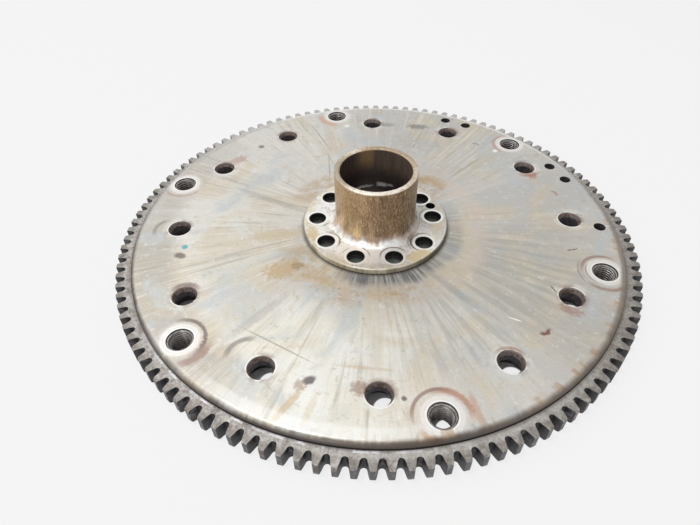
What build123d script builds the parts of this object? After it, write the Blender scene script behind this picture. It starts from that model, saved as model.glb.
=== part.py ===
from build123d import *
from math import acos, cos, pi, radians, sin, tan
import os

# Lengths are in millimetres and angles in degrees, counted anticlockwise from +X.
# The origin is the centre of the disc's underside, and +Z points up the hub.

# Ring gear: an involute gear cut on a turned blank
tooth_count = 118
blank_radius = 254.0
pressure_angle = 14.5
dedendum_share = 1.157
first_gap_angle = -0.165
ring_width = 15.9
ring_rim_thickness = 8.3
tooth_end_bevel = 1.2

# Flywheel disc
disc_thickness = 22.0
ring_drop = 5.6
disc_shoulder_overhang = 2.55
disc_edge_round_width = 5.6
disc_edge_round_depth = 3.4
disc_bottom_chamfer = 0.8

# Threaded bushes, set in the disc near its edge
bush_count = 6
first_bush_angle = 100.0
bush_edge_distance = 19.4
bush_radius = 11.1
bush_recess = 0.9
thread_drill_radius = 8.3
thread_mouth_chamfer = 0.9

# Through holes, two beside each bush, countersunk above and counterbored below
plate_hole_circle_radius = 197.1
plate_hole_leads = (20.0, -12.0)
plate_hole_radius = 9.2
countersink_radius = 11.45
countersink_depth = 4.5
counterbore_radius = 15.0
counterbore_depth = 12.0

# Blind balance holes drilled at one side
balance_angles = (63.4, 56.5, 24.7, 17.7, -3.2)
balance_edge_distance = 15.6
balance_hole_radius = 5.75
balance_hole_depth = 8.0
drill_tip_angle = 118.0

# Bolts to the crankshaft: an even circle with one hole moved as an index
crank_bolt_count = 10
crank_bolt_circle_radius = 57.8
first_crank_bolt_angle = -3.25
index_bolt_shift = 5.1
crank_bolt_hole_radius = 8.6
dowel_angle = 18.2
dowel_circle_step = 3.0
dowel_hole_radius = 4.9

# Pilot hub: a tube, its flange and the spigot that centres it in the disc
tube_radius = 39.35
tube_wall = 5.4
tube_height = 66.5
tube_rim_chamfer = 1.4
tube_rim_round = 1.2
tube_root_fillet = 7.5
flange_thickness = 6.5
flange_edge_margin = 5.2
flange_edge_chamfer = 1.0
spot_face_margin = 6.9
spigot_step = 2.65
spigot_length = 20.0
spigot_chamfer = 1.0

# Clearances, all on the radius
ring_seat_clearance = 0.02
bush_clearance = 0.02
spigot_clearance = 0.03

# How far a cutting tool runs past the face that it cuts
tool_overrun = 1.0

# How often the round at the bottom of a gap is worked out again, until its size settles
root_rounds = 12

# Sizes worked out from the ones above
module = 2 * blank_radius / (tooth_count + 2)
pitch_radius = module * tooth_count / 2
base_radius = pitch_radius * cos(radians(pressure_angle))
root_radius = pitch_radius - dedendum_share * module
ring_bore_radius = root_radius - ring_rim_thickness
ring_seat_radius = ring_bore_radius - ring_seat_clearance
disc_radius = ring_seat_radius + disc_shoulder_overhang
ring_top = disc_thickness - ring_drop
ring_bottom = ring_top - ring_width
bush_circle_radius = disc_radius - bush_edge_distance
balance_circle_radius = disc_radius - balance_edge_distance
flange_radius = crank_bolt_circle_radius + crank_bolt_hole_radius + flange_edge_margin
flange_top = disc_thickness + flange_thickness
tube_top = disc_thickness + tube_height
hub_bore_radius = tube_radius - tube_wall
spigot_radius = tube_radius + spigot_step
spigot_bottom = disc_thickness - spigot_length


def on_circle(radius, angle, height):
    """The location at one radius, angle and height, upright."""
    return Location((radius * cos(radians(angle)), radius * sin(radians(angle)), height))


def turned(*outline):
    """The solid of revolution of a closed outline of radius and height."""
    return revolve(Plane.XZ * make_face(list(outline)), Axis.Z)


def drill(radius, bottom, top):
    """An upright cylinder between two heights."""
    return Pos(0, 0, (bottom + top) / 2) * Cylinder(radius, top - bottom)


def involute(angle):
    """The involute function of an angle in radians."""
    return tan(angle) - angle


def gap_half_angle(radius):
    """Half of the gap between two teeth at one radius, in radians."""
    flank_turn = involute(radians(pressure_angle)) - involute(acos(base_radius / radius))
    return pi / (2 * tooth_count) - flank_turn


def gap_point(radius, side):
    """A point on one flank of the gap whose centre line is +X."""
    angle = side * gap_half_angle(radius)
    return Vector(radius * cos(angle), radius * sin(angle))


def gap_root_round():
    """The full round at the bottom of a gap: its radius, and the lean of the flanks that it meets."""
    size = module / 2
    for _ in range(root_rounds):
        centre = root_radius + size
        lean = acos(base_radius / centre)
        size = centre * sin(gap_half_angle(centre)) * cos(lean)
    return size, lean


def tooth_outline():
    """One gap and the tooth after it: root round, two flanks and the tip."""
    size, lean = gap_root_round()
    foot_radius = root_radius + size * (1 - sin(lean))
    middle_radius = (foot_radius + blank_radius) / 2
    pitch_angle = 360 / tooth_count
    left = [gap_point(radius, -1) for radius in (blank_radius, middle_radius, foot_radius)]
    right = [gap_point(radius, 1) for radius in (foot_radius, middle_radius, blank_radius)]
    tip_middle = Vector(blank_radius, 0).rotate(Axis.Z, pitch_angle / 2)
    tip_end = left[0].rotate(Axis.Z, pitch_angle)
    return [
        ThreePointArc(*left),
        ThreePointArc(left[2], Vector(root_radius, 0), right[0]),
        ThreePointArc(*right),
        ThreePointArc(right[2], tip_middle, tip_end),
    ]


def ring_gear():
    """The toothed ring, with the ends of its teeth bevelled as on the turned blank."""
    teeth = []
    for index in range(tooth_count):
        turn = first_gap_angle + index * 360 / tooth_count
        teeth += [edge.rotate(Axis.Z, turn) for edge in tooth_outline()]
    toothed = Pos(0, 0, ring_bottom) * extrude(make_face(teeth), ring_width)
    blank = turned(
        Polyline(
            (ring_bore_radius, ring_bottom),
            (blank_radius - tooth_end_bevel, ring_bottom),
            (blank_radius, ring_bottom + tooth_end_bevel),
            (blank_radius, ring_top - tooth_end_bevel),
            (blank_radius - tooth_end_bevel, ring_top),
            (ring_bore_radius, ring_top),
            close=True,
        )
    )
    return toothed & blank


def bush_locations():
    """Where the threaded bushes stand, at the height of the underside."""
    angles = [first_bush_angle + index * 360 / bush_count for index in range(bush_count)]
    return [on_circle(bush_circle_radius, angle, 0) for angle in angles]


def crank_bolt_angles():
    """An even circle of bolts, the first of them moved as an index."""
    angles = [first_crank_bolt_angle + index * 360 / crank_bolt_count for index in range(crank_bolt_count)]
    angles[0] += index_bolt_shift
    return angles


def crank_hole_tools(bottom, top):
    """The bolt holes and the dowel hole that hub and disc share."""
    tools = [
        on_circle(crank_bolt_circle_radius, angle, 0) * drill(crank_bolt_hole_radius, bottom, top)
        for angle in crank_bolt_angles()
    ]
    dowel_place = on_circle(crank_bolt_circle_radius + dowel_circle_step, dowel_angle, 0)
    tools.append(dowel_place * drill(dowel_hole_radius, bottom, top))
    return tools


def plate_hole_tool():
    """A through hole with a funnel at its mouth and a wide counterbore below."""
    return turned(
        Polyline(
            (0, -tool_overrun),
            (counterbore_radius, -tool_overrun),
            (counterbore_radius, counterbore_depth),
            (plate_hole_radius, counterbore_depth),
            (plate_hole_radius, disc_thickness - countersink_depth),
            (countersink_radius, disc_thickness),
            (countersink_radius, disc_thickness + tool_overrun),
            (0, disc_thickness + tool_overrun),
            close=True,
        )
    )


def balance_hole_tool():
    """A blind drilled hole with the drill's point at its bottom."""
    floor = disc_thickness - balance_hole_depth
    tip = balance_hole_radius / tan(radians(drill_tip_angle / 2))
    return turned(
        Polyline(
            (0, floor - tip),
            (balance_hole_radius, floor),
            (balance_hole_radius, disc_thickness + tool_overrun),
            (0, disc_thickness + tool_overrun),
            close=True,
        )
    )


def flywheel_disc():
    """The turned disc with its ring seat, the shoulder above it, its worn round edge and every hole."""
    bore = spigot_radius + spigot_clearance
    round_start = Vector(disc_radius - disc_edge_round_width, disc_thickness)
    round_end = Vector(disc_radius, disc_thickness - disc_edge_round_depth)
    disc = turned(
        Polyline(
            round_start,
            (bore, disc_thickness),
            (bore, 0),
            (ring_seat_radius - disc_bottom_chamfer, 0),
            (ring_seat_radius, disc_bottom_chamfer),
            (ring_seat_radius, ring_top),
            (disc_radius, ring_top),
            round_end,
        ),
        TangentArc(round_start, round_end, tangent=(1, 0)),
    )
    below = -tool_overrun
    above = disc_thickness + tool_overrun
    tools = crank_hole_tools(below, above)
    tools += [place * drill(bush_radius + bush_clearance, below, above) for place in bush_locations()]
    for index in range(bush_count):
        for lead in plate_hole_leads:
            angle = first_bush_angle + index * 360 / bush_count + lead
            tools.append(on_circle(plate_hole_circle_radius, angle, 0) * plate_hole_tool())
    for angle in balance_angles:
        tools.append(on_circle(balance_circle_radius, angle, 0) * balance_hole_tool())
    return disc - tools


def pilot_hub():
    """Tube, flange and spigot in one piece, spot-faced round its bolt holes."""
    fillet_top = flange_top + tube_root_fillet
    fillet_foot = tube_radius + tube_root_fillet
    bend = tube_root_fillet * (1 - cos(radians(45)))
    rim_bend = tube_rim_round * (1 - cos(radians(45)))
    hub = turned(
        Polyline(
            (tube_radius - tube_rim_round, tube_top),
            (hub_bore_radius + tube_rim_chamfer, tube_top),
            (hub_bore_radius, tube_top - tube_rim_chamfer),
            (hub_bore_radius, spigot_bottom),
            (spigot_radius - spigot_chamfer, spigot_bottom),
            (spigot_radius, spigot_bottom + spigot_chamfer),
            (spigot_radius, disc_thickness),
            (flange_radius, disc_thickness),
            (flange_radius, flange_top - flange_edge_chamfer),
            (flange_radius - flange_edge_chamfer, flange_top),
            (fillet_foot, flange_top),
        ),
        ThreePointArc(
            (fillet_foot, flange_top),
            (tube_radius + bend, flange_top + bend),
            (tube_radius, fillet_top),
        ),
        Line((tube_radius, fillet_top), (tube_radius, tube_top - tube_rim_round)),
        ThreePointArc(
            (tube_radius, tube_top - tube_rim_round),
            (tube_radius - rim_bend, tube_top - rim_bend),
            (tube_radius - tube_rim_round, tube_top),
        ),
    )
    spot_face_radius = crank_bolt_hole_radius + spot_face_margin
    tools = crank_hole_tools(disc_thickness - tool_overrun, flange_top + tool_overrun)
    for angle in crank_bolt_angles():
        place = on_circle(crank_bolt_circle_radius, angle, 0)
        tools.append(place * drill(spot_face_radius, flange_top, fillet_top + tool_overrun))
    return hub - tools


def threaded_bush():
    """One bush on the axis, bored for its thread; the thread's form is not cut."""
    top = disc_thickness - bush_recess
    mouth = thread_drill_radius + thread_mouth_chamfer
    return turned(
        Polyline(
            (mouth, 0),
            (bush_radius, 0),
            (bush_radius, top),
            (mouth, top),
            (thread_drill_radius, top - thread_mouth_chamfer),
            (thread_drill_radius, thread_mouth_chamfer),
            close=True,
        )
    )


os.makedirs("parts", exist_ok=True)
export_step(ring_gear(), "parts/ring_gear.step")
export_step(flywheel_disc(), "parts/flywheel_disc.step")
export_step(pilot_hub(), "parts/pilot_hub.step")
for number, place in enumerate(bush_locations(), start=1):
    export_step(place * threaded_bush(), f"parts/threaded_bush_{number}.step")
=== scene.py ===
import bpy
from math import atan2, cos, degrees, floor, pi, radians, sin
from mathutils import Matrix, Vector


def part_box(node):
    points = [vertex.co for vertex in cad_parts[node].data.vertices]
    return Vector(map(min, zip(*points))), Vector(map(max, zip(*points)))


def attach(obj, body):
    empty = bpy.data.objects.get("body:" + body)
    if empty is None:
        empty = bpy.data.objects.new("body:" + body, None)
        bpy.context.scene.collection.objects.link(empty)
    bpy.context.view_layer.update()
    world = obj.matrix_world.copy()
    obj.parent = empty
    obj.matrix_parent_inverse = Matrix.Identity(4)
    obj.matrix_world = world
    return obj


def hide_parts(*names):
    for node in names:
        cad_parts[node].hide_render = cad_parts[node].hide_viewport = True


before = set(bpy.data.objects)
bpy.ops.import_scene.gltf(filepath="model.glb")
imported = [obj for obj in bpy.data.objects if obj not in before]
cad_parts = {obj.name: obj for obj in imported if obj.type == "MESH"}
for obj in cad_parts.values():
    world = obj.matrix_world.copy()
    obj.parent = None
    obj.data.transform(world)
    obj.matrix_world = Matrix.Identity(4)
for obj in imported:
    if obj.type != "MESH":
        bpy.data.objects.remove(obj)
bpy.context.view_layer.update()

# Sizes in millimetres and angles in degrees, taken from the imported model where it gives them
MM = 0.001
disc_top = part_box("flywheel_disc")[1].z / MM
hub_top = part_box("pilot_hub")[1].z / MM
flange_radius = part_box("pilot_hub")[1].x / MM
tip_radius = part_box("ring_gear")[1].x / MM
root_radius = 244.9
disc_radius = 239.1
edge_round_width = 5.6
edge_wall_top = disc_top - 3.4
flange_top = disc_top + 6.5
tube_radius = 39.35
bore_radius = 33.95
crank_bolt_circle = 57.8
crank_bolt_places = 10
index_bolt_angle = 1.85
second_bolt_angle = 32.75
missing_bolt_angle = -3.25
crank_bolt_hole = 8.6
dowel_circle = 60.8
dowel_angle = 18.2
dowel_hole = 4.9
first_bush_angle = 100.0
bush_count = 6
bush_circle = 219.7
bush_radius = 11.1
contact_ring_radius = 13.2
plate_hole_circle = 197.1
plate_hole_leads = (20.0, -12.0)
plate_hole_radius = 9.2
countersink_radius = 11.45
countersink_depth = 4.5
thread_pitch = 2.54
thread_major_radius = 9.5
thread_minor_radius = 8.3
thread_mouth_radius = 10.1
thread_flat = 0.2
bush_bevel = 0.3
least_radius = 0.001

# Camera, as fitted to the photograph
camera_place = Vector((-0.02807, -0.41898, 0.37811))
camera_target = Vector((-0.02629, -0.05536, 0.02234))
camera_lens = 27.91
camera_roll = radians(-1.13)
camera_film_width = 36.0
camera_nearest = 0.01

# Greys in linear values: what is seen round the object, the floor's own and the room's light
background_grey = 0.913
seen_floor_grey = 0.926
floor_grey = 0.88
room_grey = 0.44

# Sockets of a Mix node that hold its two colours and give the result
under_socket = 6
over_socket = 7
mixed_socket = 2


def srgb(red, green, blue):
    """A colour given as 0 to 255, in the linear values that shaders take."""
    parts = [channel / 255 for channel in (red, green, blue)]
    steep = [part / 12.92 if part <= 0.04045 else ((part + 0.055) / 1.055) ** 2.4 for part in parts]
    return (*steep, 1.0)


def plain_grey(level):
    """A grey given in the linear values that shaders take."""
    return (level, level, level, 1.0)


def on_circle(circle, angle):
    """The x and y of a place on a circle round the axis, at an angle in degrees."""
    return circle * cos(radians(angle)), circle * sin(radians(angle))


class Field:
    """A value that varies over a surface: one output of a shader node."""

    def __init__(self, tree, socket):
        self.tree = tree
        self.socket = socket

    def plug(self, socket):
        """Links the value to the input of another node."""
        self.tree.links.new(self.socket, socket)

    def math(self, operation, *others):
        """A new field from this one and others, by one of the operations of a Math node."""
        node = self.tree.nodes.new("ShaderNodeMath")
        node.operation = operation
        for value, socket in zip((self, *others), node.inputs):
            put(value, socket)
        return Field(self.tree, node.outputs[0])

    def __add__(self, other):
        return self.math("ADD", other)

    def __radd__(self, other):
        return self.math("ADD", other)

    def __sub__(self, other):
        return self.math("SUBTRACT", other)

    def __rsub__(self, other):
        return (self * -1) + other

    def __mul__(self, other):
        return self.math("MULTIPLY", other)

    def __truediv__(self, other):
        return self.math("DIVIDE", other)


def put(value, socket):
    """Links a field to a socket, or sets the socket to a plain value."""
    if isinstance(value, Field):
        value.plug(socket)
    else:
        socket.default_value = value


def seen_rays(tree):
    """1 for what is seen straight, in metal or through glass; 0 for what only gives light."""
    path = tree.nodes.new("ShaderNodeLightPath")
    seen = Field(tree, path.outputs["Is Camera Ray"])
    seen = seen.math("MAXIMUM", Field(tree, path.outputs["Is Glossy Ray"]))
    return seen.math("MAXIMUM", Field(tree, path.outputs["Is Transmission Ray"]))


def ramp(value, low, high, top):
    """Rises softly from 0 at low to top at high; falls if low is above high."""
    node = value.tree.nodes.new("ShaderNodeMapRange")
    node.interpolation_type = "SMOOTHSTEP"
    value.plug(node.inputs["Value"])
    node.inputs["From Min"].default_value = low
    node.inputs["From Max"].default_value = high
    node.inputs["To Max"].default_value = top
    return Field(value.tree, node.outputs[0])


def smooth(value, low, high):
    """Rises softly from 0 at low to 1 at high; falls if low is above high."""
    return ramp(value, low, high, 1.0)


def band(value, low, high, soft):
    """1 between low and high, fading over soft on both sides."""
    return smooth(value, low - soft, low + soft) * smooth(value, high + soft, high - soft)


def mix(amount, under, over):
    """The colour under, covered by the colour over where amount is 1."""
    node = amount.tree.nodes.new("ShaderNodeMix")
    node.data_type = "RGBA"
    amount.plug(node.inputs["Factor"])
    put(under, node.inputs[under_socket])
    put(over, node.inputs[over_socket])
    return Field(amount.tree, node.outputs[mixed_socket])


def tint(colour, amount, *channels):
    """The colour, covered by one given as 0 to 255 where amount is 1."""
    return mix(amount, colour, srgb(*channels))


class Surface:
    """One procedural material, with the coordinates in millimetres that it is painted by."""

    def __init__(self, name):
        self.material = bpy.data.materials.new(name)
        self.material.use_nodes = True
        self.tree = self.material.node_tree
        self.shader = self.tree.nodes["Principled BSDF"]
        place = self.tree.nodes.new("ShaderNodeTexCoord").outputs["Object"]
        self.x, self.y, self.z = [part * (1 / MM) for part in self.split(place)]
        self.go_round()
        self.along = self.x / self.radius
        self.across = self.y / self.radius
        normal = self.tree.nodes.new("ShaderNodeNewGeometry").outputs["Normal"]
        self.normal_x, self.normal_y, self.normal_z = self.split(normal)
        self.outward = self.normal_x * self.along + self.normal_y * self.across

    def go_round(self):
        """Works out the distance from the axis and the angle round it from x and y."""
        squares = self.x * self.x + self.y * self.y
        self.radius = squares.math("SQRT").math("MAXIMUM", least_radius)
        self.angle = self.y.math("ARCTAN2", self.x)

    def split(self, socket):
        """The three parts of a vector."""
        node = self.tree.nodes.new("ShaderNodeSeparateXYZ")
        self.tree.links.new(socket, node.inputs[0])
        return [Field(self.tree, output) for output in node.outputs]

    def vector(self, *parts):
        """A vector from its parts."""
        node = self.tree.nodes.new("ShaderNodeCombineXYZ")
        for value, socket in zip(parts, node.inputs):
            put(value, socket)
        return Field(self.tree, node.outputs[0])

    def noise(self, place, scale, detail, roughness=0.55, distortion=0.0):
        """Noise from 0 to 1, read at a place that may be stretched or bent."""
        node = self.tree.nodes.new("ShaderNodeTexNoise")
        place.plug(node.inputs["Vector"])
        node.inputs["Scale"].default_value = scale
        node.inputs["Detail"].default_value = detail
        node.inputs["Roughness"].default_value = roughness
        node.inputs["Distortion"].default_value = distortion
        return Field(self.tree, node.outputs["Fac"])

    def flat(self, scale, detail, shift=0.0, **more):
        """Noise over the plane, in cells of 1 / scale millimetres."""
        return self.noise(self.vector(self.x + shift, self.y, self.z), scale, detail, **more)

    def rays(self, cells, length, detail, shift=0.0, **more):
        """Noise in streaks along the radius: cells to a radian, each length millimetres long."""
        outward = self.radius * (1 / (cells * length)) + shift
        place = self.vector(self.along, self.across, outward)
        return self.noise(place, cells, detail, **more)

    def rings(self, width, reach, detail):
        """Noise in streaks as a lathe leaves them, width in millimetres by reach in radians."""
        turn = width / reach
        place = self.vector(self.radius, self.along * turn, self.across * turn)
        return self.noise(place, 1 / width, detail)

    def drape(self, width, length, detail, shift=0.0, **more):
        """Noise in upright streaks on the tube, width by length in millimetres."""
        turn = tube_radius / width
        place = self.vector(self.along * turn, self.across * turn, self.z * (1 / length) + shift)
        return self.noise(place, 1.0, detail, **more)

    def facing(self, direction, reach):
        """1 in one direction from the axis, falling to 0 at reach degrees from it."""
        full_share = 0.3
        turn = self.along * cos(radians(direction)) + self.across * sin(radians(direction))
        return smooth(turn, cos(radians(reach)), cos(radians(reach * full_share)))

    def away(self, x, y):
        """The distance to an upright line through x, y."""
        left = self.x - x
        down = self.y - y
        return (left * left + down * down).math("SQRT")

    def to_circle(self, circle, angle, count=1):
        """The distance to the nearest of count places spread evenly on a circle."""
        turn = self.angle - radians(angle)
        if count > 1:
            step = 2 * pi / count
            turn = turn - (turn / step).math("ROUND") * step
        squares = self.radius * self.radius + circle * circle
        gap = squares - self.radius * (2 * circle) * turn.math("COSINE")
        return gap.math("MAXIMUM", 0.0).math("SQRT")

    def vector_math(self, operation, other):
        """One number from the plane that marks are drawn on and a plain vector."""
        node = self.tree.nodes.new("ShaderNodeVectorMath")
        node.operation = operation
        self.plane.plug(node.inputs[0])
        node.inputs[1].default_value = other
        return Field(self.tree, node.outputs["Value"])

    def roughen(self, scale):
        """Sets the noise that makes the edges of marks uneven, and the plane they are drawn on."""
        reach = 2.0
        self.rough_edge = self.flat(scale, 4) - 0.5
        wobble = self.rough_edge * reach
        self.plane = self.vector(self.x + wobble, self.y - wobble)

    def ahead(self, x, y, direction, unit=1.0):
        """How far the plane lies ahead of x, y in one direction, counted in units."""
        aim = (cos(radians(direction)) / unit, sin(radians(direction)) / unit, 0)
        return self.vector_math("DOT_PRODUCT", aim) - (x * aim[0] + y * aim[1])

    def spot(self, x, y, radius, stretch, turn, amount):
        """A soft spot with a rough edge, longer by stretch along one direction."""
        small = 5.0
        roughness = 0.7 if radius < small else 2.2
        if stretch == 1:
            away = self.vector_math("DISTANCE", (x, y, 0)) / radius
        else:
            length = self.ahead(x, y, turn, radius * stretch)
            width = self.ahead(x, y, turn + 90, radius)
            away = (length * length + width * width).math("SQRT")
        return ramp(self.rough_edge.math("MULTIPLY_ADD", roughness, away), 1.4, 0.6, amount)

    def arc(self, x, y, radius, width, direction, reach, amount):
        """Part of a ring round x, y, strongest in one direction."""
        full_share = 0.35
        away = self.vector_math("DISTANCE", (x, y, 0))
        facing = self.ahead(x, y, direction) / away
        part = ramp(facing, cos(radians(reach)), cos(radians(reach * full_share)), amount)
        side = self.rough_edge.math("MULTIPLY_ADD", width * 0.8, away)
        side = side.math("SUBTRACT", radius).math("ABSOLUTE")
        return smooth(side, width * 0.75, width * 0.25) * part

    def finish(self, colour, roughness, metal, relief, depth):
        """Sets the shader's colour, roughness and metal, and its relief with a depth in metres."""
        put(colour, self.shader.inputs["Base Color"])
        put(roughness, self.shader.inputs["Roughness"])
        put(metal, self.shader.inputs["Metallic"])
        bump = self.tree.nodes.new("ShaderNodeBump")
        bump.inputs["Distance"].default_value = depth
        relief.plug(bump.inputs["Height"])
        self.tree.links.new(bump.outputs[0], self.shader.inputs["Normal"])
        return self.material


def plate_hole_distance(surface):
    """How far a place is from the middle of the nearest of the 12 plate holes."""
    after, before = [surface.to_circle(plate_hole_circle, first_bush_angle + lead, bush_count)
                     for lead in plate_hole_leads]
    return after.math("MINIMUM", before)


def on_bush(number):
    """The x and y of the axis of a bush, the first being 0."""
    return on_circle(bush_circle, first_bush_angle + 360 / bush_count * number)


def add_marks(steel, colour, spots, arcs):
    """Paints soft spots and parts of rings, each a row of numbers with a colour at its end."""
    for *form, shade in spots:
        colour = tint(colour, steel.spot(*form), *shade)
    for *form, shade in arcs:
        colour = tint(colour, steel.arc(*form), *shade)
    return colour


# Soft spots on the disc: x, y, radius, stretch, direction of the stretch, strength, colour
disc_spots = [
    (-186.8, -28.0, 2.8, 1, 0, 0.85, (66, 164, 178)),
    (-188.7, -40.2, 3.8, 1.5, -20, 0.85, (112, 98, 92)),
    (-129.4, 148.0, 3.2, 1, 0, 0.8, (116, 98, 90)),
    (63.1, 186.0, 5.5, 2.2, -10, 0.6, (108, 104, 106)),
    (24.3, 192.4, 4.0, 2.6, 0, 0.45, (126, 120, 118)),
    (148.3, 127.6, 3.0, 1, 0, 0.9, (246, 245, 241)),
    (-25.3, 191.5, 3.2, 1, 0, 0.8, (244, 243, 238)),
    (-60.2, -183.5, 3.6, 1.5, 25, 0.9, (100, 92, 90)),
    (-67.0, -188.0, 5.0, 1, 0, 0.6, (158, 128, 106)),
    (-22.0, -190.9, 6.0, 1, 0, 0.6, (142, 104, 88)),
    (11.3, -201.3, 2.0, 1, 0, 0.8, (84, 76, 72)),
    (161.2, -119.0, 5.0, 2.0, -30, 0.55, (150, 108, 92)),
    (178.8, 78.3, 6.0, 1, 0, 0.6, (176, 112, 88)),
    (-153.1, 120.0, 7.0, 1.6, 40, 0.55, (172, 132, 118)),
    (-90.0, -63.0, 10.0, 1.5, 20, 0.65, (186, 156, 106)),
    (-75.0, -58.0, 5.0, 1, 0, 0.5, (142, 122, 84)),
    (66.8, 70.2, 9.0, 1.8, -30, 0.5, (190, 160, 112)),
    (-98.0, -14.0, 8.0, 3.2, 6, 0.5, (194, 172, 128)),
]

# Parts of rings on the disc: x, y, radius, width, direction, reach, strength, colour
disc_arcs = [
    (*on_bush(3), 21.5, 5.0, 50, 72, 0.75, (180, 128, 100)),
    (*on_bush(3), 22.5, 3.0, 130, 75, 0.75, (140, 112, 106)),
    (*on_bush(3), 21.0, 5.0, -115, 40, 0.75, (182, 136, 82)),
    (*on_bush(2), 21.0, 3.6, 30, 100, 0.85, (120, 104, 100)),
    (*on_bush(2), 25.0, 7.0, -48, 48, 0.7, (150, 116, 106)),
    (*on_bush(1), 21.5, 2.2, -90, 80, 0.55, (164, 130, 120)),
    (*on_bush(0), 20.0, 7.5, 222, 62, 0.65, (206, 158, 126)),
    (*on_bush(4), 20.5, 3.2, 110, 75, 0.7, (146, 114, 102)),
    (*on_bush(4), 22.5, 3.6, -90, 70, 0.7, (152, 118, 102)),
    (*on_bush(4), 17.0, 1.2, 190, 60, 0.6, (120, 112, 108)),
    (*on_bush(4), 24.0, 1.4, 176, 45, 0.5, (126, 118, 112)),
    (*on_bush(5), 19.0, 3.4, 160, 85, 0.6, (184, 134, 120)),
    (-110.0, -160.0, 18.0, 4.5, 128, 62, 0.7, (128, 118, 112)),
    (-206.0, -2.0, 16.0, 4.0, 160, 60, 0.6, (134, 124, 120)),
    (-174.0, -92.5, 14.0, 5.0, 95, 75, 0.7, (122, 102, 96)),
    (189.8, 42.0, 6.0, 3.0, 20, 70, 0.6, (160, 116, 100)),
    (174.0, 92.5, 16.0, 4.0, -80, 55, 0.6, (164, 124, 106)),
    (131.5, -139.0, 5.0, 3.4, -60, 80, 0.95, (124, 84, 76)),
    (126.1, 139.0, 5.5, 2.2, 60, 70, 0.6, (130, 118, 112)),
    (98.5, -170.7, 13.5, 2.8, 90, 70, 0.5, (158, 112, 88)),
    (183.5, -30.0, 15.0, 1.4, -80, 28, 0.8, (86, 80, 78)),
]

# Scratches and streaks on the disc: start, end, width, strength, colour
disc_strokes = [
    ((152.0, -90.5), (155.0, -98.5), 1.4, 0.8, (92, 84, 80)),
    ((106.5, -125.5), (116.5, -130.5), 1.2, 0.95, (250, 249, 246)),
    ((-118.0, -130.0), (-60.0, -166.0), 1.5, 0.6, (150, 140, 120)),
    ((-40.0, -170.0), (4.0, -176.0), 3.2, 0.4, (196, 170, 132)),
    ((-72.0, 200.0), (-48.0, 143.0), 1.6, 0.5, (132, 128, 124)),
    ((-48.0, 128.0), (-46.0, 78.0), 1.3, 0.5, (122, 118, 116)),
    ((-66.0, -192.0), (-86.0, -218.0), 6.0, 0.55, (194, 166, 116)),
    ((-54.0, -196.0), (-64.0, -222.0), 6.0, 0.35, (206, 188, 150)),
    ((-76.0, -19.0), (-158.0, -46.0), 2.0, 0.4, (148, 142, 136)),
    ((-72.0, 22.0), (-148.0, 66.0), 8.0, 0.35, (152, 150, 148)),
    ((-84.0, -96.0), (-128.0, -140.0), 9.0, 0.35, (158, 150, 142)),
    ((-8.0, -94.0), (-6.0, -186.0), 12.0, 0.4, (208, 202, 180)),
    ((61.0, -199.0), (66.0, -225.0), 6.0, 0.55, (190, 146, 114)),
    ((44.0, -66.0), (86.0, -120.0), 8.0, 0.4, (146, 150, 154)),
]


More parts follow.
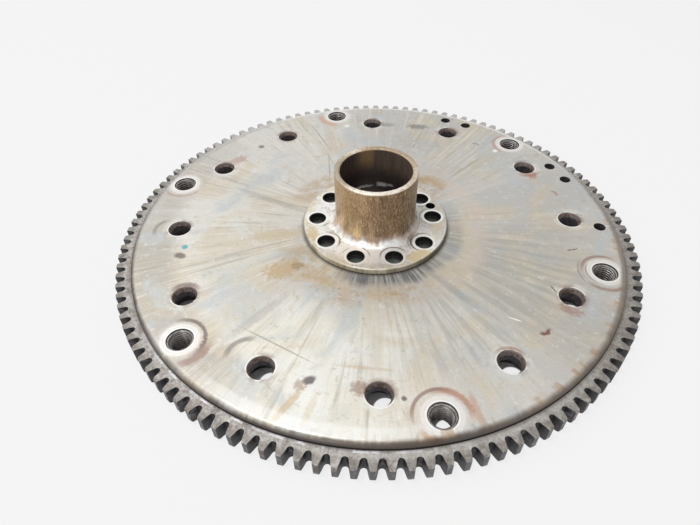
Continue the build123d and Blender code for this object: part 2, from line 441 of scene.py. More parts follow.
def disc_ground(steel):
    """The plain of the disc: broad light and dark, partly painted light and shade, fans and streaks
    along the radius.
    """
    fans = steel.rays(4.5, 300, 3, distortion=0.5)
    wedges = steel.rays(13, 200, 4, shift=3, distortion=0.3)
    streaks = steel.rays(36, 90, 4, shift=7, distortion=0.2)
    hairs = steel.rays(120, 45, 4, shift=11)
    patches = steel.flat(0.018, 5, distortion=0.8)
    mottle = steel.flat(0.16, 6, shift=150, roughness=0.7)
    grain = steel.flat(0.9, 4, shift=60, roughness=0.7)

    # Painted light and shade: lighter to the left, darker to the right
    shade = smooth(steel.x * 0.87 - steel.y * 0.5, -190, 170)
    colour = mix(shade, srgb(218, 215, 208), srgb(188, 184, 177))
    # Painted highlight on the front left of the plain
    colour = tint(colour, steel.facing(-106, 36) * smooth(steel.radius, 96, 150) * 0.8, 241, 240, 233)
    colour = tint(colour, steel.facing(-74, 30) * smooth(steel.radius, 90, 140) * 0.55, 224, 220, 212)
    colour = tint(colour, steel.facing(-148, 40) * smooth(steel.radius, 186, 208) * 0.8, 170, 164, 156)
    shown = smooth(patches + fans, 0.85, 1.15) * (1 - steel.facing(-32, 62) * 0.6)
    colour = tint(colour, steel.facing(12, 34) * 0.35, 214, 210, 203)
    colour = tint(colour, steel.facing(76, 26) * smooth(steel.radius, 120, 150) * 0.4, 168, 165, 160)
    colour = tint(colour, smooth(fans, 0.5, 0.68) * 0.3, 204, 194, 174)
    colour = tint(colour, smooth(fans, 0.48, 0.34) * 0.3, 176, 179, 182)
    colour = tint(colour, smooth(wedges, 0.52, 0.7) * shown * 0.45, 176, 168, 154)
    colour = tint(colour, smooth(wedges, 0.46, 0.32) * shown * 0.4, 230, 229, 226)
    colour = tint(colour, smooth(patches, 0.52, 0.66) * 0.6, 206, 194, 170)
    warm = steel.facing(-128, 62) * smooth(steel.flat(0.03, 5, shift=500), 0.42, 0.6)
    colour = tint(colour, warm * 0.3, 216, 204, 172)
    colour = tint(colour, steel.facing(172, 42) * smooth(steel.radius, 190, 214) * 0.55, 174, 168, 160)
    colour = tint(colour, smooth(patches, 0.48, 0.34) * 0.55, 188, 196, 200)
    colour = tint(colour, smooth(streaks, 0.54, 0.72) * shown * 0.5, 150, 146, 140)
    colour = tint(colour, smooth(streaks, 0.46, 0.3) * shown * 0.4, 234, 232, 228)
    colour = tint(colour, smooth(mottle, 0.55, 0.72) * 0.55, 172, 160, 142)
    colour = tint(colour, smooth(mottle, 0.45, 0.3) * 0.5, 232, 231, 228)
    colour = tint(colour, smooth(hairs, 0.54, 0.74) * shown * 0.35, 146, 142, 137)
    colour = tint(colour, smooth(hairs, 0.45, 0.28) * shown * 0.3, 240, 239, 236)
    colour = tint(colour, smooth(grain, 0.56, 0.74) * 0.5, 142, 134, 124)
    relief = steel.rings(1.2, 0.25, 3) * 0.4 + hairs * 0.5 + streaks * 0.3 + grain * 0.6
    return colour, relief, patches


def disc_heat(steel, colour):
    """Grey, tan and pink zones round the hub, broken up in rays, with painted shade to the front right.
    """
    ring = steel.radius + steel.flat(0.03, 4, shift=300) * 18 - 9
    rays = steel.rays(26, 60, 4, shift=4)
    fine = steel.rays(70, 30, 3, shift=9)
    pale_grey = band(ring, 66, 88, 6) * steel.facing(-30, 62)
    colour = tint(colour, pale_grey * smooth(rays, 0.2, 0.7) * 0.6, 138, 140, 142)
    grey = band(ring, 66, 86, 5) * steel.facing(-82, 46)
    colour = tint(colour, grey * smooth(rays, 0.3, 0.6) * 0.9, 104, 106, 110)
    colour = tint(colour, grey * smooth(fine, 0.5, 0.66) * steel.facing(-95, 50) * 0.6, 82, 84, 90)
    colour = tint(colour, grey * smooth(fine, 0.46, 0.32) * 0.35, 190, 192, 194)
    tan = band(ring, 90, 112, 8) * steel.facing(-98, 64)
    colour = tint(colour, tan * smooth(steel.flat(0.05, 6, shift=90), 0.38, 0.64) * 0.6, 196, 168, 132)
    colour = tint(colour, tan * smooth(steel.flat(0.2, 5, shift=95), 0.52, 0.68) * 0.4, 160, 132, 100)
    pink = band(ring, 96, 114, 8) * steel.facing(5, 80)
    colour = tint(colour, pink * smooth(rays, 0.4, 0.6) * 0.6, 214, 198, 186)
    # Painted shade to the front right, broken up in rays
    painted_shade_front_right = band(ring, 108, 190, 14) * steel.facing(-45, 60)
    colour = tint(colour, painted_shade_front_right * smooth(rays, 0.42, 0.6) * 0.4, 158, 158, 154)
    brown = band(ring, 70, 100, 5) * steel.facing(55, 30)
    colour = tint(colour, brown * smooth(steel.flat(0.09, 5, shift=33), 0.42, 0.6) * 0.7, 176, 150, 116)
    gold = band(ring, 74, 100, 7) * (steel.facing(-138, 30) + steel.facing(134, 24))
    colour = tint(colour, gold * smooth(steel.flat(0.08, 5, shift=21), 0.34, 0.6) * 0.6, 180, 154, 112)
    # Darker in a band round the foot of the flange
    dark_round_flange = smooth(steel.radius, flange_radius + 4.4, flange_radius)
    return tint(colour, dark_round_flange * 0.75, 92, 86, 78)


def disc_marks(steel, colour):
    """Single stains, dents and scratches, each at its own place."""
    colour = add_marks(steel, colour, disc_spots, disc_arcs)
    for start, end, width, amount, shade in disc_strokes:
        middle = (Vector(start) + Vector(end)) / 2
        run = Vector(end) - Vector(start)
        turn = degrees(atan2(run.y, run.x))
        stroke = steel.spot(*middle, width / 2, run.length / width, turn, amount)
        colour = tint(colour, stroke, *shade)
    return colour


def disc_holes(steel, colour, hole, bush):
    """Rust round the plate holes with a painted highlight on their rims, worn pads round the bushes."""
    uneven = steel.flat(0.05, 3, shift=700)
    halo = smooth(hole + steel.rough_edge * 4, 16.5, 11.0) * smooth(uneven, 0.44, 0.6)
    colour = tint(colour, halo * 0.65, 152, 126, 112)
    pale = band(hole + steel.rough_edge * 2, 12.0, 17.0, 1.5) * smooth(uneven, 0.52, 0.4)
    colour = tint(colour, pale * 0.4, 226, 224, 220)
    # Painted highlight on the rims of the plate holes
    rim = band(hole, countersink_radius + 0.15, countersink_radius + 1.05, 0.3)
    colour = tint(colour, rim * smooth(uneven, 0.54, 0.46) * 0.8, 244, 243, 239)
    pad = bush + steel.rough_edge * 3
    colour = tint(colour, smooth(pad, 22.0, 15.0) * 0.55, 222, 214, 210)
    colour = tint(colour, band(pad, 13.4, 16.5, 1.2) * 0.6, 238, 236, 232)
    worn = smooth(bush, contact_ring_radius + 0.5, contact_ring_radius - 0.5)
    colour = tint(colour, worn * 0.9, 244, 243, 239)
    return tint(colour, smooth(bush, bush_radius + 0.7, bush_radius + 0.2), 52, 46, 44)


def disc_walls(steel, colour, hole):
    """Sides of the holes: stained funnels, and dark bores."""
    rust = steel.flat(0.35, 4, shift=20)
    funnel = mix(smooth(rust, 0.42, 0.62), srgb(128, 116, 112), srgb(98, 80, 72))
    funnel = tint(funnel, smooth(steel.z, disc_top - 1.8, disc_top - 0.4) * 0.5, 168, 158, 152)
    bore = mix(smooth(rust, 0.4, 0.62), srgb(88, 84, 88), srgb(66, 58, 58))
    middle = smooth(steel.radius, flange_radius + 0.4, flange_radius - 1.6)
    middle = middle * smooth(steel.z, disc_top - 2, disc_top - 8)
    bore = tint(bore, middle * 0.9, 206, 212, 204)
    funnel_end = disc_top - countersink_depth
    deep = smooth(steel.z, funnel_end + 0.6, funnel_end - 0.6)
    wall = mix(deep.math("MAXIMUM", smooth(hole, 16, 18)), funnel, bore)
    flat_radius = disc_radius - edge_round_width
    inside = smooth(steel.z, disc_top - 0.04, disc_top - 0.3)
    inside = inside * smooth(steel.radius, flat_radius, flat_radius - 0.6)
    return mix(inside, colour, wall), inside


def disc_edge(steel, colour):
    """The rounded edge: brown and dark at the front, partly dirt and partly painted shade, with a
    painted highlight before it, a painted shadow below it and a pale painted highlight at the back.
    """
    wobble = steel.rays(20, 400, 4, shift=2) - 0.5
    fine = steel.rays(90, 400, 3, shift=5) - 0.5
    out = steel.radius + wobble * 3.0 + fine * 1.6
    front = smooth(steel.y, 175, 20)
    left = steel.facing(-100, 42)
    # Painted highlight just inside the edge on the front left
    colour = tint(colour, steel.facing(-106, 30) * band(out, 225.0, 234.0, 2.0) * 0.35, 248, 248, 246)
    # Brown dirt and painted shade on the front of the edge, darker to the front left
    late = steel.facing(-137, 38) * 2.3 - steel.facing(-8, 36) * 1.4
    dark = smooth(out - late, 232.7, 237.3) * front
    shade = mix(left, srgb(134, 122, 110), srgb(84, 68, 56))
    shade = tint(shade, steel.facing(160, 40), 150, 146, 142)
    colour = mix(dark * 0.9, colour, shade)
    # Painted shadow next to the seam at the front
    near = smooth(out, 235.8, 238.6) * front
    colour = tint(colour, near * steel.facing(-80, 75) * 0.6, 70, 64, 62)
    colour = tint(colour, near * steel.facing(-170, 36) * 0.9, 66, 60, 58)
    ochre = band(out, 230, 236.5, 1.5)
    ochre = ochre * smooth(steel.rays(22, 120, 5, shift=8), 0.5, 0.62)
    ochre = ochre * steel.facing(-48, 66)
    colour = tint(colour, ochre * 0.6, 166, 130, 86)
    colour = tint(colour, steel.facing(136, 26) * smooth(out, 229, 233) * 0.55, 164, 160, 154)
    # Painted highlight: the back of the edge pale
    back = smooth(steel.y, 40, 170) * smooth(out, 231, 236) * (1 - steel.facing(136, 24) * 0.8)
    colour = tint(colour, back * 0.9, 246, 246, 244)
    # Painted shadow: the wall below the round near black at the front
    wall = smooth(steel.z, edge_wall_top + 0.3, edge_wall_top - 0.5)
    wall = wall * smooth(steel.radius, disc_radius - 1, disc_radius - 0.5)
    return mix(wall * front, colour, srgb(40, 36, 34))


def disc_under(steel, colour):
    """The underside, plainly turned, with none of the marks of the top."""
    grooves = smooth(steel.rings(1.6, 0.2, 4), 0.4, 0.6)
    turned = mix(grooves, srgb(172, 169, 164), srgb(148, 144, 139))
    turned = tint(turned, smooth(steel.flat(0.02, 4, shift=900), 0.5, 0.66) * 0.35, 142, 126, 110)
    return mix(smooth(steel.normal_z, -0.5, -0.9), colour, turned)


def disc_steel():
    """Ground steel with streaks along the radius, stains and rust, and painted light and shade."""
    steel = Surface("disc steel")
    steel.roughen(0.35)
    hole = plate_hole_distance(steel)
    bush = steel.to_circle(bush_circle, first_bush_angle, bush_count)
    colour, relief, patches = disc_ground(steel)
    colour = disc_heat(steel, colour)
    colour = disc_holes(steel, colour, hole, bush)
    colour = disc_marks(steel, colour)
    colour = disc_edge(steel, colour)
    colour, inside = disc_walls(steel, colour, hole)
    colour = disc_under(steel, colour)
    rough = 0.36 + smooth(patches, 0.3, 0.7) * 0.12 + inside * 0.2
    return steel.finish(colour, rough, metal=0.45, relief=relief, depth=0.00008)


def ring_face(steel, speckle, back):
    """The flat faces: grey with stains, a dark seam at the disc, a bright line beside it that is a
    painted sheen, and lighter at the back as painted light.
    """
    face = mix(smooth(speckle, 0.4, 0.66), srgb(178, 175, 170), srgb(142, 134, 126))
    face = tint(face, smooth(steel.radius + steel.rough_edge * 3, 245.0, 249.5) * 0.6, 124, 118, 112)
    face = tint(face, smooth(steel.rays(60, 300, 4), 0.5, 0.7) * 0.5, 124, 108, 94)
    face = tint(face, smooth(steel.flat(0.13, 5, shift=33), 0.5, 0.64) * 0.55, 104, 94, 88)
    face = tint(face, smooth(steel.flat(0.13, 5, shift=66), 0.54, 0.68) * 0.5, 206, 202, 196)
    face = tint(face, steel.facing(-15, 45) * 0.3, 124, 114, 108)
    face = tint(face, steel.facing(-76, 36) * smooth(steel.radius, 247, 243) * 0.25, 210, 207, 202)
    near = steel.radius + steel.rough_edge * 1.6
    face = tint(face, smooth(near, disc_radius + 3.4, disc_radius + 0.8) * 0.5, 110, 102, 96)
    # Painted sheen beside the seam on the front left
    painted_sheen = band(near, disc_radius + 0.8, disc_radius + 2.6, 0.5)
    painted_sheen = painted_sheen * smooth(steel.rays(26, 400, 5, shift=6), 0.4, 0.62)
    face = tint(face, painted_sheen * steel.facing(-112, 42) * 0.75, 240, 241, 246)
    face = tint(face, smooth(steel.radius, disc_radius + 0.5, disc_radius + 0.1), 34, 30, 30)
    # Painted light: the back of the ring lighter
    face = tint(face, back * 0.6, 206, 204, 201)
    return face


def tooth_tips(steel, speckle, broad, back):
    """The outer ends of the teeth: dark with painted shade, with brown and pale patches, and lighter at
    the back as painted light.
    """
    tips = mix(smooth(speckle, 0.4, 0.66), srgb(104, 104, 108), srgb(74, 72, 74))
    tips = tint(tips, smooth(broad, 0.48, 0.62) * 0.45, 108, 90, 78)
    tips = tint(tips, smooth(steel.flat(0.15, 4, shift=99), 0.52, 0.64) * 0.6, 150, 146, 144)
    # Painted light at the back of the ring
    tips = tint(tips, back * 0.5, 188, 186, 184)
    return tips


def tooth_gaps(steel, back):
    """The flanks and roots: near black with painted shade, greyer outward, with pale patches, and
    lighter at the back as painted light.
    """
    outer = smooth(steel.radius + steel.rough_edge * 2, root_radius + 1, tip_radius - 1)
    # Painted shade in the gaps, darkest at the roots
    gaps = mix(outer, srgb(26, 23, 28), srgb(70, 66, 68))
    gaps = tint(gaps, smooth(steel.flat(0.3, 3, shift=50), 0.45, 0.65) * 0.4, 58, 60, 54)
    gaps = tint(gaps, smooth(steel.flat(0.14, 4, shift=70), 0.55, 0.66) * 0.55, 128, 124, 126)
    # Painted light at the back of the ring
    gaps = tint(gaps, back * 0.4, 170, 168, 166)
    return gaps


def ring_steel():
    """Cut gear steel: grey faces, tips darkened by painted shade with a painted highlight on their
    bevels, and gaps near black with painted shade.
    """
    steel = Surface("ring steel")
    steel.roughen(0.4)
    speckle = steel.flat(0.5, 5, roughness=0.7)
    broad = steel.flat(0.03, 3, shift=80)
    # Painted light: the back of the ring is lighter
    back = smooth(steel.y, 90, 200)
    face = ring_face(steel, speckle, back)
    tips = tooth_tips(steel, speckle, broad, back)
    gaps = tooth_gaps(steel, back)
    level = smooth(steel.normal_z.math("ABSOLUTE"), 0.5, 0.8)
    tip = smooth(steel.outward, 0.6, 0.9) * smooth(steel.radius, tip_radius - 1.6, tip_radius - 1.2)
    colour = mix(tip, gaps, tips)
    # Painted highlight on the bevel at the tips of the teeth
    bevel_highlight = band(steel.normal_z, 0.25, 0.8, 0.1) * smooth(steel.radius, tip_radius - 5, tip_radius - 2)
    colour = tint(colour, bevel_highlight * smooth(speckle, 0.6, 0.44) * 0.9, 216, 214, 210)
    colour = mix(level, colour, face)
    relief = speckle + steel.rings(0.8, 0.2, 3) * 0.5
    return steel.finish(colour, 0.42 + speckle * 0.15, metal=0.45, relief=relief, depth=0.00014)


# Soft spots on the flange: x, y, radius, stretch, direction of the stretch, strength, colour
flange_spots = [
    (-62.0, -19.0, 6.5, 1.5, 100, 0.7, (206, 184, 132)),
    (38.0, -54.0, 7.0, 1.8, 35, 0.7, (210, 184, 120)),
    (35.0, -29.0, 5.5, 1.4, 50, 0.6, (168, 146, 124)),
    (60.0, -14.0, 6.0, 1.8, 75, 0.5, (196, 176, 134)),
]

# Parts of rings on the flange: x, y, radius, width, direction, reach, strength, colour
flange_arcs = [
    (44.8, -36.6, 12.6, 1.6, 190, 62, 0.85, (96, 92, 88)),
    (44.8, -36.6, 15.4, 1.2, 180, 50, 0.6, (112, 106, 100)),
    (14.7, -55.9, 13.4, 1.2, 110, 60, 0.6, (140, 130, 120)),
    (-48.6, -31.3, 13.0, 1.4, 30, 60, 0.6, (128, 118, 108)),
]

# Painted highlights on wet oil low in the bore: direction, height, reach in degrees, length
bore_glints = [(76.0, 46.8, 11, 4.5), (61.0, 47.6, 7, 2.2), (108.0, 45.0, 20, 1.6)]


def hub_tube(steel, drips, fine, thin):
    """Baked brown oil in upright streaks, with painted shade on the right, a painted highlight on the
    left, and paler low on the left.
    """
    bronze = mix(smooth(drips, 0.34, 0.66), srgb(166, 136, 103), srgb(130, 103, 77))
    # Painted shade on the front right and right, painted highlight on the left
    bronze = tint(bronze, steel.facing(-70, 50) * 0.2, 112, 88, 68)
    bronze = tint(bronze, steel.facing(0, 80) * 0.35, 92, 76, 64)
    bronze = tint(bronze, steel.facing(202, 72) * 0.6, 206, 174, 132)
    lower = smooth(steel.z, flange_top + 34, flange_top + 8)
    pale = steel.facing(206, 64) * lower * smooth(drips, 0.62, 0.42)
    bronze = tint(bronze, pale * 0.75, 246, 212, 160)
    bronze = tint(bronze, smooth(fine, 0.52, 0.68) * 0.65, 232, 204, 166)
    bronze = tint(bronze, smooth(fine, 0.47, 0.33) * 0.65, 80, 60, 44)
    bronze = tint(bronze, smooth(thin, 0.53, 0.7) * 0.6, 66, 50, 38)
    bronze = tint(bronze, smooth(thin, 0.46, 0.3) * 0.5, 240, 216, 184)
    return bronze


def hub_rim(steel, speckle):
    """The tube's upper edge: bright in front with a painted highlight, brown elsewhere."""
    rim = mix(smooth(speckle, 0.42, 0.62), srgb(244, 236, 222), srgb(200, 176, 142))
    rim = tint(rim, steel.facing(185, 60) * 0.75, 160, 146, 124)
    rim = tint(rim, steel.facing(60, 70) * 0.7, 152, 126, 92)
    rim = tint(rim, steel.facing(-5, 50) * 0.4, 168, 148, 118)
    # Painted highlight on the front of the rim
    rim = tint(rim, steel.facing(-95, 50) * 0.5, 254, 248, 238)
    return rim


def hub_flange(steel, speckle, cloud):
    """The silver face of the flange, with golden oil, grey clouds and brown specks, and a painted
    highlight in front by the tube.
    """
    flange = mix(smooth(speckle, 0.46, 0.68) * 0.55, srgb(244, 243, 239), srgb(198, 195, 188))
    flange = tint(flange, smooth(cloud, 0.54, 0.66) * 0.45, 184, 180, 172)
    gold = smooth(steel.radius + steel.rough_edge * 8, 58, 70)
    flange = tint(flange, gold * smooth(steel.flat(0.05, 3, shift=44), 0.4, 0.54) * 0.6, 214, 198, 156)
    flange = tint(flange, steel.facing(8, 48) * 0.5, 158, 154, 144)
    specks = steel.flat(0.28, 5, shift=77, roughness=0.7)
    flange = tint(flange, smooth(specks, 0.53, 0.68) * smooth(cloud, 0.4, 0.6) * 0.7, 138, 126, 112)
    flange = tint(flange, steel.facing(-110, 60) * smooth(steel.radius, 60, 68) * 0.35, 176, 168, 156)
    # Painted highlight: white in front by the foot of the tube
    flange = tint(flange, steel.facing(-100, 40) * smooth(steel.radius, 60, 52) * 0.8, 254, 254, 253)
    return add_marks(steel, flange, flange_spots, flange_arcs)


def flange_side(steel):
    """The side of the flange: pale and brown, with a dark line where it meets the disc."""
    clouds = smooth(steel.rays(5, 400, 5, distortion=0.6), 0.34, 0.66)
    side = mix(clouds, srgb(222, 214, 192), srgb(160, 148, 124))
    side = tint(side, steel.facing(-25, 52) * 0.75, 82, 74, 58)
    seam = smooth(steel.z + steel.rough_edge * 1.6, disc_top + 1.3, disc_top + 0.3)
    return tint(side, seam, 40, 36, 32)


def crank_bolt_distance(steel):
    """How far a place is from the middle of the nearest crank bolt hole, one of them set off."""
    hole = steel.to_circle(crank_bolt_circle, second_bolt_angle, crank_bolt_places)
    missing = steel.away(*on_circle(crank_bolt_circle, missing_bolt_angle))
    hole = hole.math("MAXIMUM", smooth(missing, 14.0, 12.0) * 40)
    return hole.math("MINIMUM", steel.to_circle(crank_bolt_circle, index_bolt_angle))


def hole_wall(steel, distance, radius, depth):
    """1 on the wall of a hole in the flange, from a depth below the flange's face."""
    wall = smooth(distance, radius + 0.12, radius + 0.04)
    return wall * smooth(steel.z, flange_top - 0.1, flange_top - depth)


def hub_bore(steel, drips):
    """The inside of the tube: brown, with a painted reflection at the back, painted shade on the left
    and low down, and painted highlights low down.
    """
    inner = mix(smooth(drips, 0.3, 0.7), srgb(146, 128, 112), srgb(120, 106, 98))
    # Painted reflection at the back of the bore
    painted_reflection = steel.facing(103, 17) * smooth(steel.z, hub_top - 26, hub_top - 8)
    inner = tint(inner, painted_reflection * 0.8, 206, 168, 118)
    # Painted shade on the left and low down in the bore
    inner = tint(inner, steel.facing(175, 68) * 0.6, 72, 58, 62)
    inner = tint(inner, smooth(steel.z, hub_top - 12, hub_top - 34) * 0.7, 62, 56, 56)
    # Painted highlights of wet oil low in the bore
    for direction, height, reach, length in bore_glints:
        glint = band(steel.z + steel.rough_edge * 4, height - length / 2, height + length / 2, 1.2)
        inner = tint(inner, glint * steel.facing(direction, reach), 255, 255, 255)
    return inner


def hub_steel():
    """Turned steel: baked brown oil on the tube, silver flange, dark bore, with painted light and
    shade.
    """
    steel = Surface("hub steel")
    steel.roughen(0.4)
    drips = steel.drape(6.0, 26.0, 4, distortion=0.6)
    runs = steel.drape(7.0, 40.0, 1, shift=3)
    fine = steel.drape(1.0, 4.5, 4, shift=5, roughness=0.7)
    thin = steel.drape(0.6, 2.4, 3, shift=9, roughness=0.7)
    speckle = steel.flat(0.35, 5, roughness=0.65)
    bronze = hub_tube(steel, drips, fine, thin)
    rim = hub_rim(steel, speckle)
    cloud = steel.flat(0.07, 5, shift=40, roughness=0.6)
    flange = hub_flange(steel, speckle, cloud)
    side = flange_side(steel)
    hole = crank_bolt_distance(steel)
    worn = band(hole, crank_bolt_hole + 0.2, crank_bolt_hole + 2.2, 0.4)
    flange = tint(flange, worn * 0.8, 248, 247, 243)
    washer = band(hole + steel.rough_edge * 2, 12.4, 13.8, 0.5) * smooth(steel.radius, 60, 50)
    washer = washer * smooth(steel.flat(0.03, 2, shift=12), 0.46, 0.54)
    flange = tint(flange, washer * 0.7, 112, 106, 100)

    up = steel.z - flange_top
    flow = up + (runs - 0.5) * 22 + (speckle - 0.5) * 3
    foot = mix(smooth(cloud, 0.42, 0.6), srgb(232, 222, 214), srgb(176, 152, 132))
    tube = mix(smooth(flow, 10.0, 2.5), bronze, foot)
    tube = mix(smooth(flow, 5.0, -1.0), tube, flange)
    # Painted shade on the right at the foot of the tube
    tube = tint(tube, steel.facing(-10, 60) * smooth(up, 10, 2) * 0.5, 132, 114, 98)
    top = mix(smooth(steel.z, hub_top - 2.2, hub_top - 0.8), tube, rim)
    colour = mix(smooth(steel.z, flange_top + 0.4, flange_top + 0.1), top, flange)
    outer = smooth(steel.radius, flange_radius - 1.2, flange_radius - 0.6)
    outer = outer * smooth(steel.z, flange_top - 0.1, flange_top - 0.8)
    colour = mix(outer, colour, side)

    colour = tint(colour, hole_wall(steel, hole, crank_bolt_hole, 0.5), 44, 46, 44)
    dowel = steel.away(*on_circle(dowel_circle, dowel_angle))
    colour = tint(colour, hole_wall(steel, dowel, dowel_hole, 0.4), 36, 38, 36)
    bore = smooth(steel.radius, bore_radius + 1.2, bore_radius + 0.6)
    bore = bore * smooth(steel.z, hub_top - 0.8, hub_top - 1.6)
    colour = mix(bore, colour, hub_bore(steel, drips))

    relief = fine * 0.6 + speckle * 0.6
    rough = 0.32 + speckle * 0.14 - bore * 0.16
    return steel.finish(colour, rough, metal=0.5, relief=relief, depth=0.00014)


def bush_steel(centre):
    """Turned steel, dark between the threads and with painted shade deeper down."""
    steel = Surface("bush steel")
    away = steel.away(*centre)
    speckle = steel.flat(0.6, 4)
    face = mix(smooth(speckle, 0.4, 0.65), srgb(178, 177, 172), srgb(128, 126, 120))
    line = band(away, thread_mouth_radius, thread_mouth_radius + 0.2, 0.12)
    face = tint(face, line, 84, 80, 78)
    root = smooth(away, thread_minor_radius + 0.1, thread_major_radius - 0.2)
    thread = mix(root, srgb(156, 150, 146), srgb(70, 62, 60))
    # Painted shade deeper in the bush
    thread = tint(thread, smooth(steel.z, disc_top - 3, disc_top - 14) * 0.7, 58, 50, 50)
    colour = mix(smooth(away, thread_major_radius + 0.2, thread_major_radius - 0.1), face, thread)
    colour = tint(colour, smooth(away, bush_radius - 0.5, bush_radius - 0.2), 44, 40, 40)
    return steel.finish(colour, 0.32 + speckle * 0.1, metal=0.6, relief=speckle, depth=0.00005)


# Threaded bushes, with the thread that the solids leave out
bush_columns = 56
bush_angles = [2 * pi * column / bush_columns for column in range(bush_columns)]
rows_per_turn = 10
sharp_angle = 35


def thread_radius(height, angle):
    """The wall of an internal thread with flat crests and roots."""
    turn = height / thread_pitch - angle / (2 * pi)
    part = abs((turn - floor(turn)) * 2 - 1)
    slope = min(max((part - thread_flat) / (1 - 2 * thread_flat), 0.0), 1.0)
    return thread_minor_radius + (thread_major_radius - thread_minor_radius) * slope


def bush_rows(bottom, top):
    """Rows of radius and height: up the outside of a bush, then down its thread."""
    outline = [(bush_radius - bush_bevel, bottom), (bush_radius, bottom + bush_bevel)]
    outline += [(bush_radius, top - bush_bevel), (bush_radius - bush_bevel, top)]
    outline.append((thread_mouth_radius, top))
    rows = [[place] * bush_columns for place in outline]
    count = round((top - bottom) / thread_pitch * rows_per_turn)
    for row in range(count + 1):
        height = top - (top - bottom) * row / count
        mouth = thread_mouth_radius - min(height - bottom, top - height)
        rows.append([(max(thread_radius(height, angle), mouth), height) for angle in bush_angles])
    return rows


def bush_mesh(name, node):
    """A bush with a real helical thread in the place of its plain solid."""
    low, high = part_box(node)
    centre = (low + high) / 2
    rows = bush_rows(low.z / MM, high.z / MM)
    vertices = []
    for row in rows:
        for angle, (radius, height) in zip(bush_angles, row):
            x = centre.x + radius * cos(angle) * MM
            y = centre.y + radius * sin(angle) * MM
            vertices.append((x, y, height * MM))
    faces = []
    for row in range(len(rows)):
        here = row * bush_columns
        below = (row + 1) % len(rows) * bush_columns
        for column in range(bush_columns):
            beside = (column + 1) % bush_columns
            faces.append((here + column, here + beside, below + beside, below + column))
    mesh = bpy.data.meshes.new(name)
    mesh.from_pydata(vertices, [], faces)
    mesh.polygons.foreach_set("use_smooth", [True] * len(faces))
    mesh.set_sharp_from_angle(angle=radians(sharp_angle))
    piece = bpy.data.objects.new(name, mesh)
    bpy.context.scene.collection.objects.link(piece)
    mesh.materials.append(bush_steel((centre.x / MM, centre.y / MM)))
    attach(piece, "root")
    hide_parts(node)


def paint(node, material):
    """Gives a CAD node its material."""
    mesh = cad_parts[node].data
    mesh.materials.clear()
    mesh.materials.append(material)


paint("flywheel_disc", disc_steel())
paint("ring_gear", ring_steel())
paint("pilot_hub", hub_steel())
for number in range(1, bush_count + 1):
    bush_mesh(f"bush_with_thread_{number}", f"threaded_bush_{number}")


# Floor, dark under the disc and near white round it, with painted pools of light where lamp light would
# come through a hole
floor_half = 6.0
floor_glow = 0.85
floor_roughness = 0.9
light_slant = (0.24, 0.03)
painted_bush_pool_radius = 8.4


def floor_material():
    """Pale floor, with painted pools of light that lie beside the holes as far as the light slants."""
    ground = Surface("pale floor")
    ground.shader.inputs["Base Color"].default_value = plain_grey(floor_grey)
    ground.shader.inputs["Roughness"].default_value = floor_roughness
    radius = ground.radius
    ground.x = ground.x - light_slant[0] * disc_top
    ground.y = ground.y - light_slant[1] * disc_top
    ground.go_round()
    # Painted pools of light on the floor under the holes
    painted_light_pool = smooth(plate_hole_distance(ground), plate_hole_radius + 0.6, plate_hole_radius - 0.4)
    bush = ground.to_circle(bush_circle, first_bush_angle, bush_count)
    painted_light_pool = painted_light_pool.math("MAXIMUM", smooth(bush, painted_bush_pool_radius + 0.5, painted_bush_pool_radius - 0.5))
    glowing_floor_and_painted_pools = smooth(radius, disc_radius - 8, disc_radius + 6).math("MAXIMUM", painted_light_pool)
    glow = ground.tree.nodes.new("ShaderNodeEmission")
    glow.inputs["Color"].default_value = plain_grey(seen_floor_grey)
    blend = ground.tree.nodes.new("ShaderNodeMixShader")
    seen = seen_rays(ground.tree) * glowing_floor_and_painted_pools * floor_glow
    seen.plug(blend.inputs[0])
    link = ground.tree.links.new
    link(ground.shader.outputs[0], blend.inputs[1])
    link(glow.outputs[0], blend.inputs[2])
    link(blend.outputs[0], ground.tree.nodes["Material Output"].inputs["Surface"])
    return ground.material


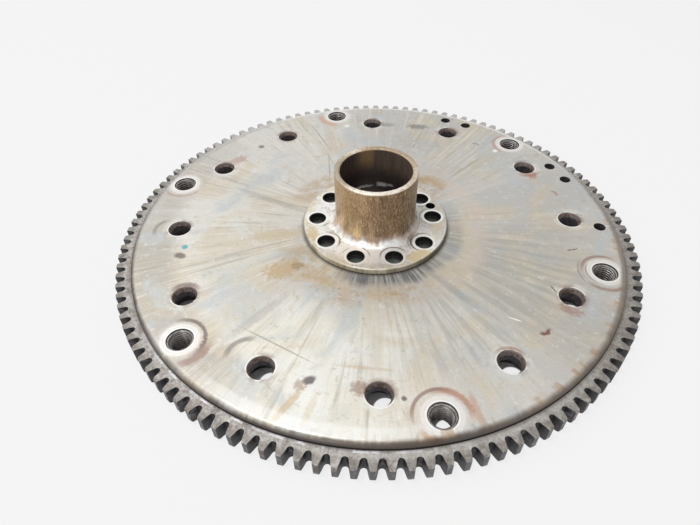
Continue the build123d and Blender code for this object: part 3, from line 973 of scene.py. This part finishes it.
floor_mesh = bpy.data.meshes.new("floor")
corners = [(-1, -1), (1, -1), (1, 1), (-1, 1)]
floor_mesh.from_pydata([(x * floor_half, y * floor_half, 0) for x, y in corners], [], [(0, 1, 2, 3)])
floor_mesh.materials.append(floor_material())
floor_piece = bpy.data.objects.new("floor", floor_mesh)
bpy.context.scene.collection.objects.link(floor_piece)


def soft_light(name, place, target, size, power):
    """A round lamp of a size in metres and a power in watts, aimed at a target."""
    data = bpy.data.lights.new(name, "AREA")
    data.shape = "DISK"
    data.size = size
    data.energy = power
    lamp = bpy.data.objects.new(name, data)
    lamp.location = place
    lamp.rotation_euler = (Vector(target) - Vector(place)).to_track_quat("-Z", "Y").to_euler()
    bpy.context.scene.collection.objects.link(lamp)


# Soft studio light
soft_light("overhead_light", (-0.48, -0.06, 2.0), target=(0, 0, 0), size=0.4, power=11.5)
soft_light("key_light", (-1.3, 0.9, 1.7), target=(0, 0, 0), size=1.6, power=8.6)
soft_light("front_light", (-0.9, -1.6, 1.2), target=(0, 0, 0.03), size=1.0, power=8.6)

# World, which lights evenly and shows the background where it is seen
world = bpy.data.worlds.new("studio")
bpy.context.scene.world = world
world.use_nodes = True
room = world.node_tree
room_light = room.nodes["Background"]
room_light.inputs["Color"].default_value = plain_grey(room_grey)
seen_light = room.nodes.new("ShaderNodeBackground")
seen_light.inputs["Color"].default_value = plain_grey(background_grey)
chooser = room.nodes.new("ShaderNodeMixShader")
seen_rays(room).plug(chooser.inputs[0])
room.links.new(room_light.outputs[0], chooser.inputs[1])
room.links.new(seen_light.outputs[0], chooser.inputs[2])
room.links.new(chooser.outputs[0], room.nodes["World Output"].inputs["Surface"])

# Camera, which looks along its own -Z and is rolled about it
camera_data = bpy.data.cameras.new("camera")
camera_data.lens = camera_lens
camera_data.sensor_width = camera_film_width
camera_data.clip_start = camera_nearest
camera = bpy.data.objects.new("camera", camera_data)
look = (camera_target - camera_place).to_track_quat("-Z", "Y").to_matrix().to_4x4()
camera.matrix_world = Matrix.Translation(camera_place) @ look @ Matrix.Rotation(camera_roll, 4, "Z")
bpy.context.scene.collection.objects.link(camera)
bpy.context.scene.camera = camera
bpy.context.scene.view_settings.view_transform = "Standard"
